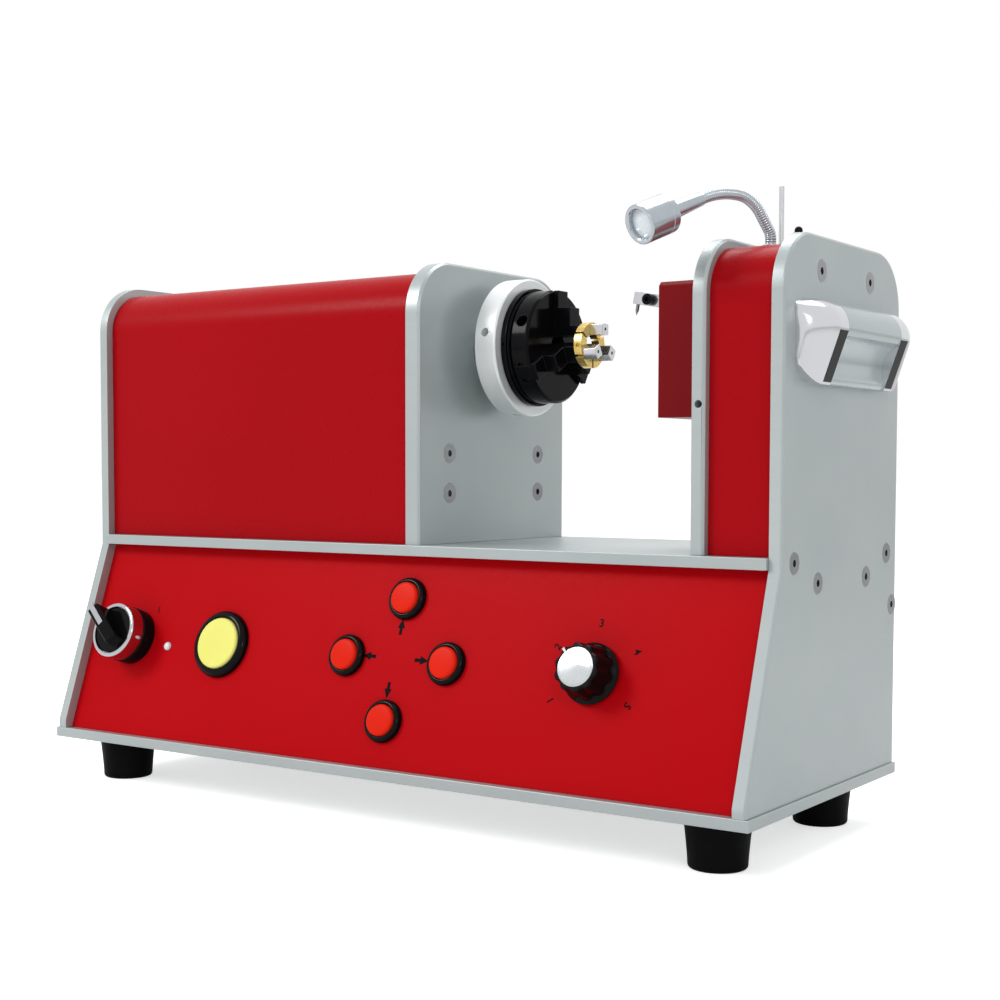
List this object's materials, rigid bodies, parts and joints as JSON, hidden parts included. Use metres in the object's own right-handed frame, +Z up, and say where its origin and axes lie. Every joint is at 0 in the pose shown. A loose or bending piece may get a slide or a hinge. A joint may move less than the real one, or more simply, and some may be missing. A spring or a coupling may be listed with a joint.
{
  "type": "ring engraving machine",
  "caption": "Benchtop jewellery ring engraving machine: red covers between brushed aluminium plates, scroll chuck, lifting tool head, sloping panel and gooseneck lamp.",
  "frame": {"origin": "on the surface that the feet stand on, under the middle of the base plate", "axes": "+X along the base to the operator's right, from the headstock to the tailstock; +Y away from the operator; +Z up"},
  "size_m": [0.4246, 0.1586, 0.2867],
  "materials": {
    "brushed_aluminium": "brushed, clear anodised",
    "red_sheet": "gloss red paint",
    "foot_rubber": "moulded black rubber",
    "screw_steel": "zinc plated",
    "handle_grip": "satin chrome",
    "handle_cap": "bright chrome with black cheeks",
    "turned_aluminium": "turned bright",
    "black_steel": "black oxide",
    "pad_brass": "machined",
    "bright_steel": "ground",
    "housing_iron": "grey primer",
    "motor_black": "satin black",
    "machined_aluminium": "machined",
    "bit_steel": "ground, diamond point",
    "selector_chrome": "chrome ring on a black collar",
    "black_gloss": "moulded gloss black",
    "knob_black": "gloss black with a spun cap",
    "start_yellow": "translucent yellow",
    "arrow_red": "orange-red",
    "lens_clear": "clear lens",
    "pot_steel": "plated",
    "lamp_chrome": "polished chrome",
    "inlet_plastic": "matt black",
    "unit_aluminium": "anodised heat sink and tray"
  },
  "bodies": {
    "frame": {"base_plate": "brushed_aluminium", "rubber_feet": "foot_rubber", "frame_screws": "screw_steel", "left_end_plate": "brushed_aluminium", "right_end_plate": "brushed_aluminium", "deck_plate": "brushed_aluminium", "headstock_plate": "brushed_aluminium", "tailstock_plate": "brushed_aluminium", "headstock_cover": "red_sheet", "tailstock_cover": "red_sheet", "control_panel": "red_sheet", "rear_panel": "red_sheet", "handle_grips": "handle_grip", "handle_caps": "handle_cap", "spindle_housing": "housing_iron", "spindle_bearings": "bright_steel", "spindle_motor": "motor_black", "motor_bracket": "machined_aluminium", "lift_guide": "machined_aluminium", "lift_motor": "motor_black", "selector_body": "selector_chrome", "button_bodies": "black_gloss", "pressure_pot": "pot_steel", "power_light": "lens_clear", "lamp_base": "lamp_chrome", "power_inlet": "inlet_plastic", "drive_unit": "unit_aluminium"},
    "spindle": {"spindle": "turned_aluminium", "chuck_body": "black_steel", "shaft_coupling": "machined_aluminium"},
    "scroll": {"scroll_ring": "black_steel"},
    "jaw_top": {"chuck_jaw_top": "black_steel", "brass_pad_top": "pad_brass", "ring_finger_top": "bright_steel"},
    "jaw_front": {"chuck_jaw_front": "black_steel", "brass_pad_front": "pad_brass", "ring_finger_front": "bright_steel"},
    "jaw_rear": {"chuck_jaw_rear": "black_steel", "brass_pad_rear": "pad_brass", "ring_finger_rear": "bright_steel"},
    "lift_screw": {"lift_screw": "bright_steel"},
    "lift": {"lift_carriage": "machined_aluminium", "head_cover": "red_sheet", "feed_motor": "motor_black", "height_rod": "bright_steel"},
    "feed_pinion": {"feed_pinion": "bright_steel"},
    "feed": {"feed_ram": "bright_steel"},
    "arm": {"tool_arm": "bright_steel", "tool_bit": "bit_steel"},
    "clamp_screw": {"tool_clamp_screw": "black_steel"},
    "selector": {"selector_knob": "black_gloss"},
    "start": {"start_button": "start_yellow"},
    "arrow_up": {"arrow_up_button": "arrow_red"},
    "arrow_down": {"arrow_down_button": "arrow_red"},
    "arrow_left": {"arrow_left_button": "arrow_red"},
    "arrow_right": {"arrow_right_button": "arrow_red"},
    "pressure": {"pressure_knob": "knob_black"},
    "lamp": {"lamp_neck": "lamp_chrome", "lamp_head": "lamp_chrome"},
    "lamp_switch": {"lamp_button": "black_gloss"}
  },
  "joints": [
    {"name": "spindle_turn", "type": "hinge", "parent": "frame", "child": "spindle", "pos_m": [0.0381, 0.0155, 0.2215], "axis": [1, 0, 0], "continuous": true},
    {"name": "scroll_turn", "type": "hinge", "parent": "spindle", "child": "scroll", "pos_m": [0.0381, 0.0155, 0.2215], "axis": [1, 0, 0], "range_deg": [-337, 33]},
    {"name": "jaw_top_slide", "type": "slide", "parent": "spindle", "child": "jaw_top", "axis": [0, 0, 1], "range_m": [-0.0003, 0.003]},
    {"name": "jaw_front_slide", "type": "slide", "parent": "spindle", "child": "jaw_front", "axis": [0, -0.866, -0.5], "range_m": [-0.0003, 0.003]},
    {"name": "jaw_rear_slide", "type": "slide", "parent": "spindle", "child": "jaw_rear", "axis": [0, 0.866, -0.5], "range_m": [-0.0003, 0.003]},
    {"name": "lift_slide", "type": "slide", "parent": "frame", "child": "lift", "axis": [0, 0, 1], "range_m": [-0.002, 0.012]},
    {"name": "lift_screw_turn", "type": "hinge", "parent": "frame", "child": "lift_screw", "pos_m": [0.1781, 0.0155, 0.1595], "axis": [0, 0, 1], "range_deg": [-105, 570]},
    {"name": "feed_slide", "type": "slide", "parent": "lift", "child": "feed", "axis": [1, 0, 0], "range_m": [-0.022, 0]},
    {"name": "feed_pinion_turn", "type": "hinge", "parent": "lift", "child": "feed_pinion", "pos_m": [0.13815, 0.0155, 0.2217], "axis": [0, 1, 0], "range_deg": [-270, 3]},
    {"name": "tool_arm_tilt", "type": "hinge", "parent": "feed", "child": "arm", "pos_m": [0.1337, 0.0155, 0.2355], "axis": [0, 1, 0], "range_deg": [-2, 6]},
    {"name": "tool_clamp_turn", "type": "hinge", "parent": "arm", "child": "clamp_screw", "pos_m": [0.10399, 0.0129, 0.2409], "axis": [0, 1, 0], "range_deg": [-90, 90]},
    {"name": "selector_turn", "type": "hinge", "parent": "frame", "child": "selector", "pos_m": [-0.162, -0.07302, 0.07999], "axis": [0, -0.9471, 0.3209], "range_deg": [-90, 0]},
    {"name": "start_press", "type": "slide", "parent": "frame", "child": "start", "axis": [0, 0.9471, -0.3209], "range_m": [0, 0.0025], "stiffness_N_per_m": 400},
    {"name": "arrow_up_press", "type": "slide", "parent": "frame", "child": "arrow_up", "axis": [0, 0.9471, -0.3209], "range_m": [0, 0.0018], "stiffness_N_per_m": 300},
    {"name": "arrow_down_press", "type": "slide", "parent": "frame", "child": "arrow_down", "axis": [0, 0.9471, -0.3209], "range_m": [0, 0.0018], "stiffness_N_per_m": 300},
    {"name": "arrow_left_press", "type": "slide", "parent": "frame", "child": "arrow_left", "axis": [0, 0.9471, -0.3209], "range_m": [0, 0.0018], "stiffness_N_per_m": 300},
    {"name": "arrow_right_press", "type": "slide", "parent": "frame", "child": "arrow_right", "axis": [0, 0.9471, -0.3209], "range_m": [0, 0.0018], "stiffness_N_per_m": 300},
    {"name": "pressure_turn", "type": "hinge", "parent": "frame", "child": "pressure", "pos_m": [0.117, -0.07213, 0.08075], "axis": [0, -0.9471, 0.3209], "range_deg": [-165, 81]},
    {"name": "lamp_swivel", "type": "hinge", "parent": "frame", "child": "lamp", "pos_m": [0.1701, 0.0002, 0.256], "axis": [0, 0, 1], "range_deg": [-45, 40]},
    {"name": "lamp_button_press", "type": "slide", "parent": "frame", "child": "lamp_switch", "axis": [0, 0, -1], "range_m": [0, 0.0012], "stiffness_N_per_m": 300}
  ],
  "couplings": [
    {"joint": "jaw_top_slide", "follows": "scroll_turn", "m_per_rad": -0.0005093},
    {"joint": "jaw_front_slide", "follows": "scroll_turn", "m_per_rad": -0.0005093},
    {"joint": "jaw_rear_slide", "follows": "scroll_turn", "m_per_rad": -0.0005093},
    {"joint": "lift_screw_turn", "follows": "lift_slide", "rad_per_m": 785.4},
    {"joint": "feed_pinion_turn", "follows": "feed_slide", "rad_per_m": 200}
  ]
}
